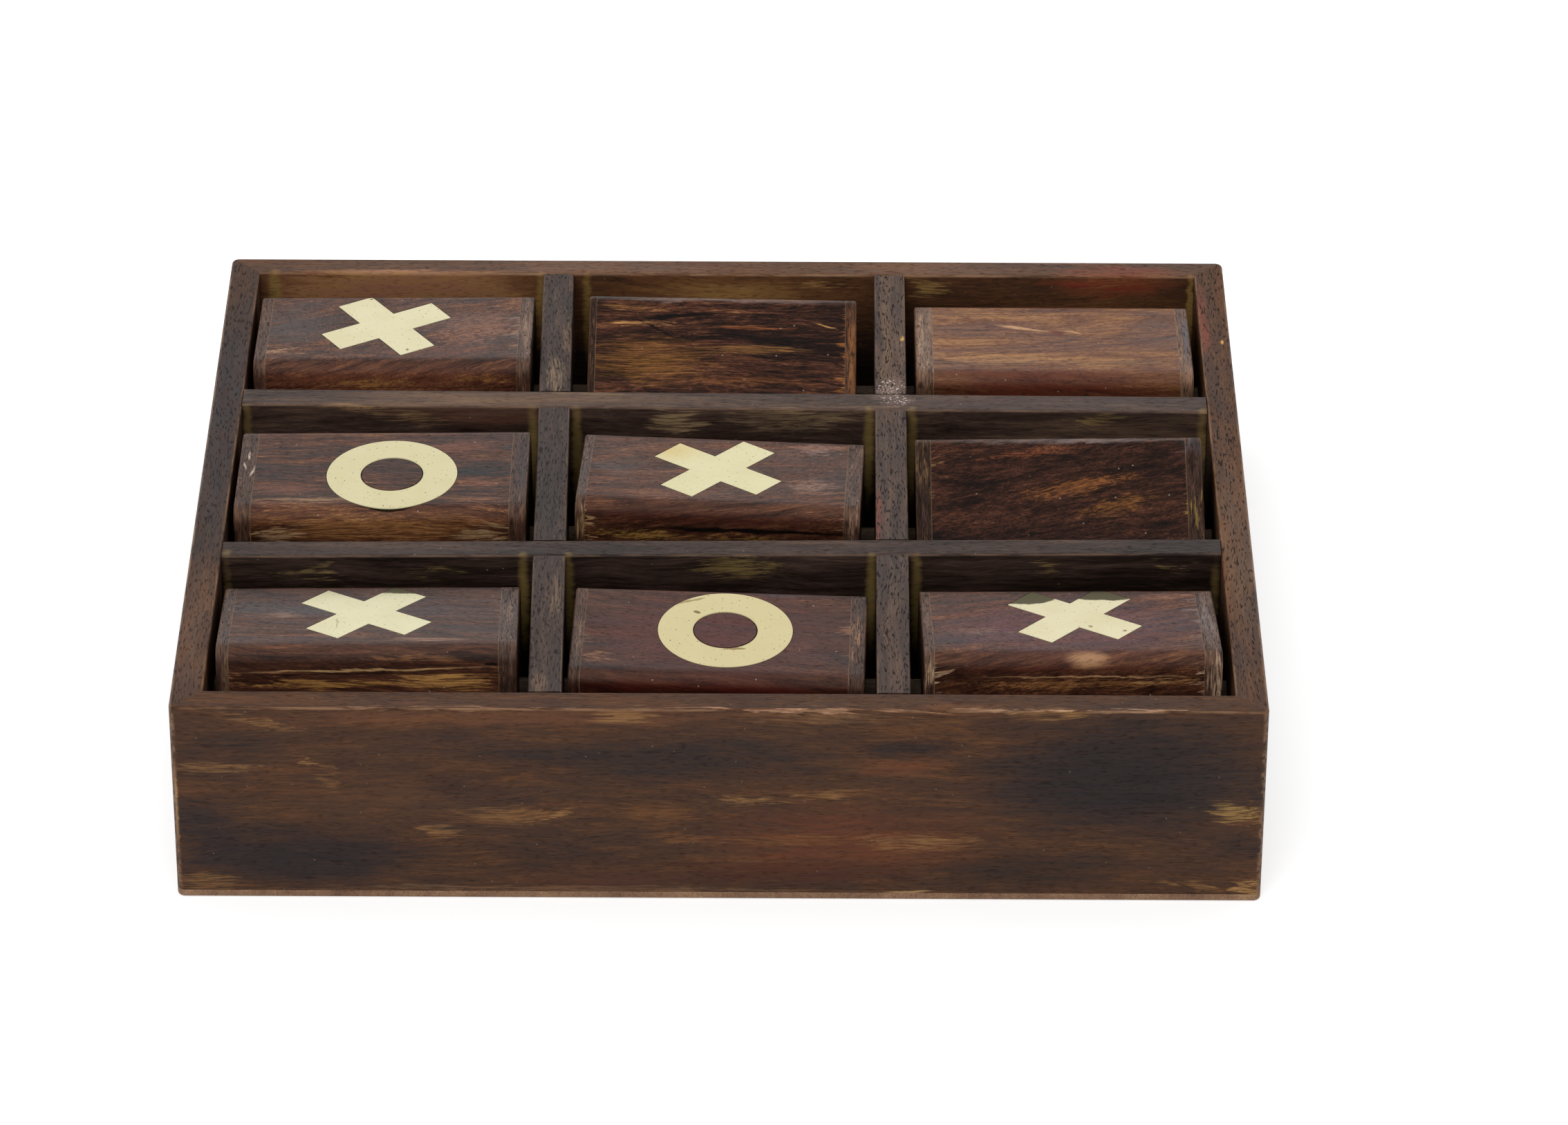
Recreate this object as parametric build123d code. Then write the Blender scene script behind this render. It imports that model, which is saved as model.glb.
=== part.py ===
from build123d import *
from collections import namedtuple
from math import sqrt
import os

# A wooden noughts-and-crosses board: nine square tumblers turn on dowels in an open tray.
# Millimetres. X runs left to right, Y front to back, Z up. The origin is under the middle of the tray.

# Tumblers
tumbler_side = 47.5
tumbler_length = 83.2
tumbler_edge = 4.5
board_thickness = 8.0
cap_edge = 0.8

# Brass inlays
inlay_thickness = 1.0
cross_arm_length = 38.6
cross_arm_width = 12.0
ring_diameter = 38.3
ring_hole = 17.8

# Dowels
dowel_diameter = 9.0
socket_depth = 6.0

# Tray
wall_thickness = 9.0
base_thickness = 2.4
long_divider_thickness = 9.4
back_divider_thickness = 9.4
front_divider_thickness = 8.4
corner_radius = 2.2
rim_radius = 1.0
divider_radius = 0.8
base_edge = 0.8

# Room around the tumblers
end_gap = 3.1
swing_gap = 4.67
floor_gap = 5.9
face_stand = 0.25

# Clearances of the joints
running_clearance = 0.08
glue_clearance = 0.05
lap_clearance = 0.1
divider_end_clearance = 0.1

# How far the hand-set dividers stand off an even spacing, and how many degrees off square to the tray
left_divider_shift = -0.7
left_divider_skew = 0.78
right_divider_shift = -0.2
right_divider_skew = -0.33
back_divider_shift = 0.76
back_divider_skew = -0.42
front_divider_shift = -0.88
front_divider_skew = 0.76

# How far each dowel runs off the middle of its row
back_dowel_shift = -0.2
middle_dowel_shift = -0.4
front_dowel_shift = -0.7

# What follows from these sizes
swing_radius = (tumbler_side / 2 - tumbler_edge) * sqrt(2) + tumbler_edge
cell_width = tumbler_length + 2 * end_gap
cell_depth = 2 * (swing_radius + swing_gap)
inner_width = 3 * cell_width + 2 * long_divider_thickness
inner_depth = 3 * cell_depth + back_divider_thickness + front_divider_thickness
box_width = inner_width + 2 * wall_thickness
box_depth = inner_depth + 2 * wall_thickness
axle_height = base_thickness + floor_gap + swing_radius
box_height = axle_height + tumbler_side / 2 - face_stand
lap_height = (base_thickness + box_height) / 2
dowel_length = inner_width + 2 * (socket_depth - glue_clearance)

left_divider_x = -(cell_width + long_divider_thickness) / 2 + left_divider_shift
right_divider_x = (cell_width + long_divider_thickness) / 2 + right_divider_shift
back_divider_y = (cell_depth + back_divider_thickness) / 2 + back_divider_shift
front_divider_y = -(cell_depth + front_divider_thickness) / 2 + front_divider_shift

# Where each divider stands, with its length along its own X
left_divider_place = Pos(left_divider_x, 0, 0) * Rot(0, 0, 90 + left_divider_skew)
right_divider_place = Pos(right_divider_x, 0, 0) * Rot(0, 0, 90 + right_divider_skew)
back_divider_place = Pos(0, back_divider_y, 0) * Rot(0, 0, back_divider_skew)
front_divider_place = Pos(0, front_divider_y, 0) * Rot(0, 0, front_divider_skew)

# The free stretch of each column along X and of each row along Y, between the middles of the dividers' faces
columns = {
    "left": (-inner_width / 2, left_divider_x - long_divider_thickness / 2),
    "centre": (left_divider_x + long_divider_thickness / 2, right_divider_x - long_divider_thickness / 2),
    "right": (right_divider_x + long_divider_thickness / 2, inner_width / 2),
}
rows = {
    "back": (back_divider_y + back_divider_thickness / 2, inner_depth / 2),
    "middle": (front_divider_y + front_divider_thickness / 2, back_divider_y - back_divider_thickness / 2),
    "front": (-inner_depth / 2, front_divider_y - front_divider_thickness / 2),
}
dowel_y = {
    "back": sum(rows["back"]) / 2 + back_dowel_shift,
    "middle": sum(rows["middle"]) / 2 + middle_dowel_shift,
    "front": sum(rows["front"]) / 2 + front_dowel_shift,
}

# How each tumbler is left in its cell. Angles are in degrees, lengths in millimetres.
# turn: about its dowel, 0 with the cross up and 180 with the ring up; less than that leans the face back.
# roll: how far its right end hangs below its left end. yaw: how far its right end stands behind its left end.
# slide: its place along the dowel, from mid-cell. lift: its middle above the dowel's.
# It can stand askew and off the middle because its bores are drilled by eye.
# longer: its length over tumbler_length. left_cap and right_cap: how thick its end caps are.
# figure_turn and figure_shift: how the figure that shows lies on its face.
Tumbler = namedtuple(
    "Tumbler", "row column turn roll yaw slide lift longer left_cap right_cap figure_turn figure_shift"
)
tumblers = [
    Tumbler("back", "left", -2.8, -0.5, 0.0, -0.75, 0.3, 0.0, 3.6, 4.1, -12.6, (-2.8, 1.4)),
    Tumbler("back", "centre", -68.0, 0.9, 0.0, -0.9, -0.85, -2.2, 2.2, 3.4, 0.0, (0.0, 0.0)),
    Tumbler("back", "right", 88.0, 0.0, 0.0, 0.3, -2.4, 0.3, 5.4, 4.0, 0.0, (0.0, 0.0)),
    Tumbler("middle", "left", 180.0, -0.6, 0.0, 0.0, 0.9, 1.6, 4.9, 5.0, 0.0, (2.7, -3.1)),
    Tumbler("middle", "centre", -5.0, 0.85, -2.4, -0.5, -0.1, -0.4, 2.9, 4.7, 8.7, (-1.1, 0.7)),
    Tumbler("middle", "right", -68.0, -0.85, 0.0, -0.2, -0.7, 0.8, 4.6, 4.8, 0.0, (0.0, 0.0)),
    Tumbler("front", "left", -9.7, -0.15, 0.8, 0.0, 0.0, 1.1, 3.5, 5.2, 6.9, (-1.0, 1.9)),
    Tumbler("front", "centre", 180.8, 0.75, -1.6, -0.2, -2.7, 0.0, 3.4, 4.6, 0.0, (1.7, 1.0)),
    Tumbler("front", "right", -8.2, 0.2, 1.1, -0.1, -0.45, 0.5, 2.9, 5.1, 6.3, (1.7, 3.5)),
]

os.makedirs("parts", exist_ok=True)


def save(name, *solids):
    """Writes one node. Pieces that share a node stay separate solids."""
    shape = solids[0] if len(solids) == 1 else Compound(children=list(solids))
    export_step(shape, f"parts/{name}.step")


def rod(length, radius):
    """A round rod along X, centred on the origin."""
    return Rot(0, 90, 0) * Cylinder(radius, length)


def axle_place(row):
    """The middle of a row's dowel."""
    return Pos(0, dowel_y[row], axle_height)


def dowel_holes(clearance):
    """What the three dowels take out of the walls and dividers that hold them."""
    length = inner_width + 2 * socket_depth
    holes = [axle_place(row) * rod(length, dowel_diameter / 2 + clearance) for row in rows]
    return holes[0] + holes[1] + holes[2]


def whole_frame():
    """The four walls as one rim, before the mitres part them."""
    height = box_height - base_thickness
    rim = Box(box_width, box_depth, height)
    rim = fillet(rim.edges().filter_by(Axis.Z), corner_radius)
    rim -= Box(inner_width, inner_depth, height)
    rim = fillet(rim.faces().sort_by(Axis.Z)[-1].edges(), rim_radius)
    return Pos(0, 0, base_thickness + height / 2) * rim


def mitre_wedge(length, depth):
    """What lies between two mitre cuts, in plan a trapezoid around the front wall of a tray of this size."""
    spare = wall_thickness / 2
    wide = length / 2 + spare
    narrow = length / 2 - wall_thickness - spare
    outside = -depth / 2 - spare
    inside = -depth / 2 + wall_thickness + spare
    corners = [(-wide, outside), (wide, outside), (narrow, inside), (-narrow, inside)]
    return extrude(make_face(Polyline(*corners, close=True)), box_height)


def make_walls():
    """Four walls that meet in 45 degree mitres. The side walls have blind sockets for the dowels."""
    frame = whole_frame()
    drilled = frame - dowel_holes(glue_clearance)
    save("front_wall", frame & mitre_wedge(box_width, box_depth))
    save("back_wall", frame & Rot(0, 0, 180) * mitre_wedge(box_width, box_depth))
    save("left_wall", drilled & Rot(0, 0, -90) * mitre_wedge(box_depth, box_width))
    save("right_wall", drilled & Rot(0, 0, 90) * mitre_wedge(box_depth, box_width))


def make_base():
    """A thin board glued under the walls, flush with them all round."""
    board = Box(box_width, box_depth, base_thickness)
    board = fillet(board.edges().filter_by(Axis.Z), corner_radius)
    board = fillet(board.faces().sort_by(Axis.Z)[0].edges(), base_edge)
    save("base_board", Pos(0, 0, base_thickness / 2) * board)


def divider_blank(length, thickness):
    """A strip on edge along X, from the base to the rim, with its two top edges eased."""
    height = box_height - base_thickness
    strip = Pos(0, 0, base_thickness + height / 2) * Box(length, thickness, height)
    top_edges = strip.edges().filter_by(Axis.X).group_by(Axis.Z)[-1]
    return fillet(top_edges, divider_radius)


def divider_notch(place, thickness, z):
    """What a divider of this place and thickness takes out of the ones it crosses, round a middle height."""
    return place * Pos(0, 0, z) * Box(inner_width, thickness + 2 * lap_clearance, lap_height)


def make_cross_divider(name, place, thickness):
    """A divider from side to side, cut to the tray and notched from below to drop over the long ones."""
    strip = place * divider_blank(inner_width + thickness, thickness)
    strip &= Box(inner_width - 2 * divider_end_clearance, inner_depth, 2 * box_height)
    for long_place in (left_divider_place, right_divider_place):
        strip -= divider_notch(long_place, long_divider_thickness, lap_height / 2)
    save(name, strip)


def make_long_divider(name, place):
    """A divider from front to back, cut to the tray, notched from above and bored for the dowels."""
    strip = place * divider_blank(inner_depth + long_divider_thickness, long_divider_thickness)
    strip &= Box(inner_width, inner_depth - 2 * divider_end_clearance, 2 * box_height)
    strip -= divider_notch(back_divider_place, back_divider_thickness, lap_height * 3 / 2)
    strip -= divider_notch(front_divider_place, front_divider_thickness, lap_height * 3 / 2)
    strip -= dowel_holes(glue_clearance)
    save(name, strip)


def make_dowels():
    """One straight dowel for each row, glued into the side walls."""
    for row in rows:
        save(f"{row}_dowel", axle_place(row) * rod(dowel_length, dowel_diameter / 2))


def rounded_bar(length, side, edge):
    """A square bar along X with its four long edges rounded."""
    return extrude(Plane.YZ * RectangleRounded(side, side, edge), length / 2, both=True)


def cross_outline(growth):
    """Two square-ended arms at right angles."""
    arm = Rectangle(cross_arm_length + 2 * growth, cross_arm_width + 2 * growth)
    return Rot(0, 0, 45) * arm + Rot(0, 0, -45) * arm


def ring_outline(growth):
    """A flat ring."""
    return Circle(ring_diameter / 2 + growth) - Circle(ring_hole / 2 - growth)


def body_bar(t):
    """The stretch of a tumbler between its end caps, still solid."""
    length = tumbler_length + t.longer - t.left_cap - t.right_cap
    return Pos((t.left_cap - t.right_cap) / 2, 0, 0) * rounded_bar(length, tumbler_side, tumbler_edge)


def inlay(outline, t, shows):
    """What an outline cuts out of the tumbler's upper skin: a sheet that follows the eased edges."""
    inner_side = tumbler_side - 2 * inlay_thickness
    inner = rounded_bar(2 * tumbler_length, inner_side, tumbler_edge - inlay_thickness)
    shift_x, shift_y = t.figure_shift if shows else (0, 0)
    turned = Rot(0, 0, t.figure_turn if shows else 0) * outline
    start = tumbler_side / 2 - tumbler_edge
    punch = Pos(shift_x, shift_y, start) * extrude(turned, tumbler_edge)
    return (body_bar(t) - inner) & punch


def face_board(t, figure):
    """The board under the tumbler's upper face, with a recess for its figure."""
    slab = Box(2 * tumbler_length, tumbler_side, board_thickness)
    return (body_bar(t) & Pos(0, 0, (tumbler_side - board_thickness) / 2) * slab) - figure


def side_board(t):
    """A flat board that stands between the two face boards, at the back of the tumbler."""
    slab = Box(2 * tumbler_length, board_thickness, tumbler_side - 2 * board_thickness)
    return body_bar(t) & Pos(0, (tumbler_side - board_thickness) / 2, 0) * slab


def end_cap(t, thickness):
    """The right-hand end cap, with its outer edge eased, before it is bored."""
    cap = rounded_bar(thickness, tumbler_side, tumbler_edge)
    cap = fillet(cap.faces().sort_by(Axis.X)[-1].edges(), cap_edge)
    return Pos((tumbler_length + t.longer - thickness) / 2, 0, 0) * cap


def make_tumbler(t):
    """A hollow box of four boards and two bored caps, with a cross on one face and a ring opposite."""
    name = f"{t.row}_{t.column}"
    middle = Pos(sum(columns[t.column]) / 2 + t.slide, dowel_y[t.row], axle_height + t.lift)
    place = middle * Rot(0, 0, t.yaw) * Rot(0, t.roll, 0) * Rot(t.turn, 0, 0)
    over = Rot(180, 0, 0)
    cross_shows = abs(t.turn) < 45
    ring_shows = abs(t.turn) > 135

    cross = inlay(cross_outline(0), t, cross_shows)
    ring = over * inlay(ring_outline(0), t, ring_shows)
    cross_recess = inlay(cross_outline(glue_clearance), t, cross_shows)
    ring_recess = inlay(ring_outline(glue_clearance), t, ring_shows)
    bore = axle_place(t.row) * rod(box_width, dowel_diameter / 2 + running_clearance)

    under_board = place * over * face_board(t, ring_recess)
    save(f"{name}_face_boards", place * face_board(t, cross_recess), under_board)
    save(f"{name}_side_boards", place * side_board(t), place * over * side_board(t))
    left_cap = place * Rot(0, 0, 180) * end_cap(t, t.left_cap)
    save(f"{name}_end_caps", place * end_cap(t, t.right_cap) - bore, left_cap - bore)
    save(f"{name}_cross", place * cross)
    save(f"{name}_ring", place * ring)


make_walls()
make_base()
make_cross_divider("cross_divider_back", back_divider_place, back_divider_thickness)
make_cross_divider("cross_divider_front", front_divider_place, front_divider_thickness)
make_long_divider("long_divider_left", left_divider_place)
make_long_divider("long_divider_right", right_divider_place)
make_dowels()
for tumbler in tumblers:
    make_tumbler(tumbler)
print(f"tray {box_width:.1f} x {box_depth:.1f} x {box_height:.1f} mm, dowels {axle_height:.1f} mm up")
for row, (near, far) in rows.items():
    print(f"{row} row from {near:.1f} to {far:.1f}, its dowel at {dowel_y[row]:.2f}")
for column, (left, right) in columns.items():
    print(f"{column} column from {left:.1f} to {right:.1f}")
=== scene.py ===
from collections import namedtuple
from math import cos, pi, radians, sin

import bpy
from mathutils import Euler, Matrix, Vector


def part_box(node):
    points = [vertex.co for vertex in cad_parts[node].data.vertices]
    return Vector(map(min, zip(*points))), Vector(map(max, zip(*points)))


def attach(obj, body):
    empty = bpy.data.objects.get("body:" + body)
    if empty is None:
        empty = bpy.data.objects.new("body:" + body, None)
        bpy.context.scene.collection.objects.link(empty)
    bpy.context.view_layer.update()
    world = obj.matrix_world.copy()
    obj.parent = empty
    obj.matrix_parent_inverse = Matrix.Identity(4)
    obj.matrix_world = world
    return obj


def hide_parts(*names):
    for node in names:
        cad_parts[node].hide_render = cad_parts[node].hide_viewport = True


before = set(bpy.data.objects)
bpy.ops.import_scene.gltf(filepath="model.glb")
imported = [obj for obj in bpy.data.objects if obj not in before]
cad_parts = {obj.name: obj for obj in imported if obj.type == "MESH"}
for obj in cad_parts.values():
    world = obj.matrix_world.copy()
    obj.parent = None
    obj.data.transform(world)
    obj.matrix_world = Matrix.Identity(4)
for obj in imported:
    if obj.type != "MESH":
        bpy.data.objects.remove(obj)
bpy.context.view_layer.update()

# Camera.
# A long lens looks down at the board from the player's side, as in the photograph.
for thing in bpy.context.selected_objects:
    thing.select_set(False)
look_down = radians(31.814)
look_right = radians(0.028)
camera_tilt = radians(0.277)
ahead = Vector((sin(look_right) * cos(look_down), cos(look_right) * cos(look_down), -sin(look_down)))
level_right = Vector((cos(look_right), -sin(look_right), 0.0))
level_up = level_right.cross(ahead)
right = cos(camera_tilt) * level_right + sin(camera_tilt) * level_up
up = cos(camera_tilt) * level_up - sin(camera_tilt) * level_right
bpy.ops.object.camera_add(location=(0.017067, -1.712588, 1.095213))
camera = bpy.context.object
camera.name = "camera"
camera.data.sensor_width = 36.0
camera.data.lens = 156.9
camera.matrix_world = Matrix.Translation(camera.location) @ Matrix((right, up, -ahead)).transposed().to_4x4()
bpy.context.scene.camera = camera
bpy.context.scene.view_settings.view_transform = "Standard"


# Studio.
# A white floor and backdrop. The backdrop shines on the board's top from behind; the room overhead and behind the
# camera is darker. Two soft boxes fill the light evenly and do not show in the polish.
def colour(hex_code):
    """An sRGB hex value as linear red, green, blue and full alpha."""
    values = [int(hex_code[i:i + 2], 16) / 255 for i in (1, 3, 5)]
    return tuple(v / 12.92 if v <= 0.04045 else ((v + 0.055) / 1.055) ** 2.4 for v in values) + (1.0,)


def add(tree, kind, links=None, stops=None, **settings):
    """Adds a node. links gives each input, by name or number, a value or another node's output; stops fill a ramp."""
    made = tree.nodes.new(kind)
    for name, value in settings.items():
        setattr(made, name, value)
    for socket, value in (links or {}).items():
        if isinstance(value, bpy.types.NodeSocket):
            tree.links.new(value, made.inputs[socket])
        else:
            made.inputs[socket].default_value = value
    if stops:
        ramp = made.color_ramp
        while len(ramp.elements) < len(stops):
            ramp.elements.new(1.0)
        for element, (place, hex_code) in zip(ramp.elements, stops):
            element.position = place
            element.color = colour(hex_code)
    return made


def maths(tree, operation, *values, **settings):
    """The output of a sum on single values."""
    return add(tree, "ShaderNodeMath", dict(enumerate(values)), operation=operation, **settings).outputs[0]


def ranged(tree, value, low, high, to_low=0.0, to_high=1.0, **settings):
    """The stretch from low to high spread over to_low to to_high, and flat beyond it."""
    return add(tree, "ShaderNodeMapRange", {"Value": value, "From Min": low, "From Max": high, "To Min": to_low,
                                            "To Max": to_high}, **settings).outputs[0]


white = (1.0, 1.0, 1.0, 1.0)
room = bpy.data.worlds.new("white_room")
bpy.context.scene.world = room
room.use_nodes = True
tree = room.node_tree
tree.nodes.clear()
ray = add(tree, "ShaderNodeLightPath").outputs
way = add(tree, "ShaderNodeTexCoord").outputs["Generated"]
way = add(tree, "ShaderNodeSeparateXYZ", {0: way}).outputs
backdrop = ranged(tree, way["Y"], 0.1, 0.75, 0.5, 1.0, interpolation_type="SMOOTHSTEP")
mirror = maths(tree, "MAXIMUM", ray["Is Glossy Ray"], ray["Is Transmission Ray"])
shine = add(tree, "ShaderNodeMix", {"Factor": mirror, "A": 0.5, "B": backdrop}, data_type="FLOAT").outputs["Result"]
shine = add(tree, "ShaderNodeMix", {"Factor": ray["Is Camera Ray"], "A": shine, "B": 1.0},
            data_type="FLOAT").outputs["Result"]
sky = add(tree, "ShaderNodeBackground", {"Color": white, "Strength": shine})
add(tree, "ShaderNodeOutputWorld", {"Surface": sky.outputs[0]})

soft_boxes = (("soft_box_front", (-0.5, -1.3, 1.9), 1.6, 24.0), ("soft_box_back", (0.4, 0.8, 1.9), 1.4, 10.0))
for name, place, size, power in soft_boxes:
    bpy.ops.object.light_add(type="AREA", location=place)
    lamp = bpy.context.object
    lamp.name = name
    lamp.data.shape = "SQUARE"
    lamp.data.size = size
    lamp.data.energy = power
    lamp.rotation_euler = (-Vector(place)).to_track_quat("-Z", "Y").to_euler()
    lamp.visible_glossy = False


def blank(name):
    """A new material and its emptied tree of nodes."""
    material = bpy.data.materials.new(name)
    material.use_nodes = True
    material.node_tree.nodes.clear()
    return material, material.node_tree


bpy.ops.mesh.primitive_plane_add(size=12.0, location=(0.0, 0.0, 0.0))
floor = bpy.context.object
floor.name = "floor"
paper, tree = blank("white_paper_rolled")
ray = add(tree, "ShaderNodeLightPath").outputs
seen = maths(tree, "MAXIMUM", ray["Is Camera Ray"], ray["Is Glossy Ray"])
seen = maths(tree, "MAXIMUM", seen, ray["Is Transmission Ray"])
shine = add(tree, "ShaderNodeEmission", {"Color": white, "Strength": maths(tree, "MULTIPLY", seen, 0.5)})
matt = add(tree, "ShaderNodeBsdfDiffuse", {"Color": colour("#e0e0e0")})
both = add(tree, "ShaderNodeAddShader", {0: matt.outputs[0], 1: shine.outputs[0]})
add(tree, "ShaderNodeOutputMaterial", {"Surface": both.outputs[0]})
floor.data.materials.append(paper)

# Walls of the tray.
# Four planed boards of dark stained hardwood, mitred and glued at the corners. The stain is uneven, darker where
# it pooled and tan where it was rubbed off, and the arrises are worn pale. The inner faces of the back and side
# walls carry painted shade, darker towards the bottom. Places and sizes are in millimetres.
Patch = namedtuple("Patch", "place radii lighter tint share rim turn", defaults=(0.0, None, 0.0, "soft", (0, 0, 0)))


def streak(place, radii, lighter, tint, share, turn=(0, 0, 0)):
    """A patch that is broken up along the fibres."""
    return Patch(place, radii, lighter, tint, share, "streaked", turn)


def firm(place, radii, lighter, tint=None, share=0.0, turn=(0, 0, 0)):
    """A patch with a smooth rim."""
    return Patch(place, radii, lighter, tint, share, "firm", turn)


def on_face(y, depth, rows):
    """Patches on an upright face. A row: rim, x, z, radii on x and z, lighter, tint, share and, where tilted, tilt."""
    return [Patch((x, y, z), (wide, depth, high), lighter, tint, share, rim, (0, sum(tilt), 0))
            for rim, x, z, wide, high, lighter, tint, share, *tilt in rows]


def vectors(tree, operation, *values):
    """The output of a sum on vectors."""
    return add(tree, "ShaderNodeVectorMath", dict(enumerate(values)), operation=operation).outputs[0]


def scaled(tree, vector, factor):
    """The vector times one factor."""
    return add(tree, "ShaderNodeVectorMath", {0: vector, "Scale": factor}, operation="SCALE").outputs[0]


def placed(tree, vector, place, turn=(0, 0, 0), size=(1, 1, 1)):
    """The vector in axes that lie at place, turned by so many degrees and stretched to size."""
    return add(tree, "ShaderNodeMapping", {"Vector": vector, "Location": place, "Rotation": [radians(v) for v in turn],
                                           "Scale": size}, vector_type="TEXTURE").outputs[0]


def own_axes(tree, centre, turn):
    """A point's place in millimetres along the axes of its own piece."""
    where = add(tree, "ShaderNodeTexCoord").outputs["Object"]
    return scaled(tree, placed(tree, where, [v / 1000 for v in centre], turn), 1000.0)


def distance(tree, vector, place, radii, turn=(0, 0, 0)):
    """The distance to the middle of a patch, which is 1 on its rim."""
    near = placed(tree, vector, place, turn, radii)
    return add(tree, "ShaderNodeVectorMath", {0: near}, operation="LENGTH").outputs["Value"]


def noise(tree, vector, cell, detail, roughness=0.5):
    """The outputs of a noise whose cells have the given sizes on the three axes."""
    vector = vectors(tree, "MULTIPLY", vector, [1 / v for v in cell])
    return add(tree, "ShaderNodeTexNoise", {"Vector": vector, "Scale": 1.0, "Detail": detail,
                                            "Roughness": roughness}).outputs


def mixed(tree, share, paint, hex_code):
    """The paint with a share of one colour."""
    return add(tree, "ShaderNodeMix", {"Factor": share, 6: paint, 7: colour(hex_code)}, data_type="RGBA").outputs[2]


def stained_wood(name, tones, layers, centre=(0, 0, 0), turn=(0, 0, 0), slant=0.0, seed=0.0, twin=None, rings=0.0,
                 base=0.5, contrast=1.0, patches=(), seams=(), flecks=(), pores=0.0, pore_size=(1.8, 0.26), dust=0.5,
                 wear=0.0, worn="#8d6b50", roughness=0.5, gloss=0.3, across=False):
    """Open-grained hardwood under a dark stain. Sizes are in millimetres, and the grain runs along the board's own X.

    tones: the colours from darkest to lightest. layers: (length along the grain, width across it, detail, weight).
    centre, turn: where the board's own axes lie. slant: the grain's angle to the board's length, in degrees.
    twin: the axis on whose two sides lie two boards. seams: (axis, place, colour, width, share).
    patches: uneven stain, painted shade and painted highlights. flecks: where (place, radii) crumbs of pale filler are
    left. across: the grain runs across X.
    """
    def sizes(along, crosswise):
        """A size along the grain and one across it, as sizes on the three axes."""
        return (crosswise, along, along) if across else (along, crosswise, crosswise)

    material, tree = blank(name)
    local = own_axes(tree, centre, turn)
    split = add(tree, "ShaderNodeSeparateXYZ", {0: local}).outputs
    middle_grey = (0.5, 0.5, 0.5)

    # the two boards of a pair are cut from different places of the log
    cut = add(tree, "ShaderNodeMapping", {"Vector": local, "Rotation": (0.0, radians(slant), radians(-slant)),
                                          "Location": (seed * 211.0, seed * 37.0, seed * 59.0)}).outputs[0]
    if twin is not None:
        shift = scaled(tree, (307.0, 71.0, 43.0), maths(tree, "SIGN", split[twin]))
        cut = vectors(tree, "ADD", cut, shift)

    # the grain wanders across the board by a millimetre or two
    bend = vectors(tree, "SUBTRACT", noise(tree, cut, (60, 35, 35), 2.0)["Color"], middle_grey)
    wood = vectors(tree, "ADD", cut, vectors(tree, "MULTIPLY", bend, (0.0, 9.0, 9.0)))

    tone = base
    figure = []
    for length, width, detail, weight in layers:
        figure.append(noise(tree, wood, (length, width, width), detail, 0.65)[0])
        tone = maths(tree, "MULTIPLY_ADD", maths(tree, "SUBTRACT", figure[-1], 0.5), weight * contrast, tone)
    if rings:
        # growth rings, as contour lines of a slow swell in the wood, each ending in a thin dark line
        swell = noise(tree, wood, (160, 16, 16), 1.0, 0.4)[0]
        line = maths(tree, "SINE", maths(tree, "MULTIPLY", swell, 60.0))
        tone = maths(tree, "MULTIPLY_ADD", line, rings, tone)
        tone = maths(tree, "MULTIPLY_ADD", ranged(tree, line, -0.7, -1.0), -1.5 * rings, tone)

    # streaky noise that frays the rims of all patches, seams and worn edges
    fray = noise(tree, wood, sizes(16.0, 2.0), 4.0, 0.6)
    push = vectors(tree, "SUBTRACT", fray["Color"], middle_grey)
    loose = vectors(tree, "ADD", local, vectors(tree, "MULTIPLY", push, sizes(30.0, 5.0)))
    tight = vectors(tree, "ADD", local, scaled(tree, push, 2.5))
    streaky = ranged(tree, fray[0], 0.32, 0.62, 0.25)
    # fibres 12 mm long and half a millimetre across, which break a streaked patch up
    fibre = noise(tree, wood, sizes(12.0, 0.5), 3.0, 0.7)[0]
    masks = []
    for patch in patches:
        far = distance(tree, tight if patch.rim == "firm" else loose, patch.place, patch.radii, patch.turn)
        mask = ranged(tree, far, 0.2, 1.0, 1.0, 0.0, interpolation_type="SMOOTHSTEP")
        if patch.rim == "streaked":
            broken = ranged(tree, maths(tree, "MULTIPLY_ADD", mask, 0.22, fibre), 0.58, 0.86)
            mask = maths(tree, "MULTIPLY", maths(tree, "MULTIPLY", mask, 2.0, use_clamp=True), broken)
        tone = maths(tree, "MULTIPLY_ADD", mask, patch.lighter, tone)
        masks.append(mask)
    stops = [(i / (len(tones) - 1), hex_code) for i, hex_code in enumerate(tones)]
    paint = add(tree, "ShaderNodeValToRGB", {"Fac": tone}, stops=stops).outputs[0]
    for patch, mask in zip(patches, masks):
        if patch.tint:
            share = maths(tree, "MULTIPLY", mask, patch.share)
            if patch.rim == "soft":
                share = maths(tree, "MULTIPLY", share, streaky)
            paint = mixed(tree, share, paint, patch.tint)

    # open pores, short dark dashes along the grain
    dash = noise(tree, wood, (pore_size[0], pore_size[1], pore_size[1]), 0.0)[0]
    dash = ranged(tree, dash, 0.62, 0.68)
    paint = mixed(tree, maths(tree, "MULTIPLY", dash, pores), paint, "#0d0807")

    # specks of dust 0.5 mm across, one in each 5 mm or so, and crumbs of filler 0.7 mm across
    speck = add(tree, "ShaderNodeTexVoronoi", {"Vector": local, "Scale": 1 / 5}).outputs["Distance"]
    paint = mixed(tree, ranged(tree, speck, 0.06, 0.035, 0.0, dust), paint, "#b3a898")
    for place, radii in flecks:
        mask = ranged(tree, distance(tree, local, place, radii), 0.5, 1.0, 1.0, 0.0)
        crumb = ranged(tree, noise(tree, local, (0.7, 0.7, 0.7), 1.0)[0], 0.58, 0.66)
        paint = mixed(tree, maths(tree, "MULTIPLY", mask, crumb), paint, "#c9b8ae")

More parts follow.
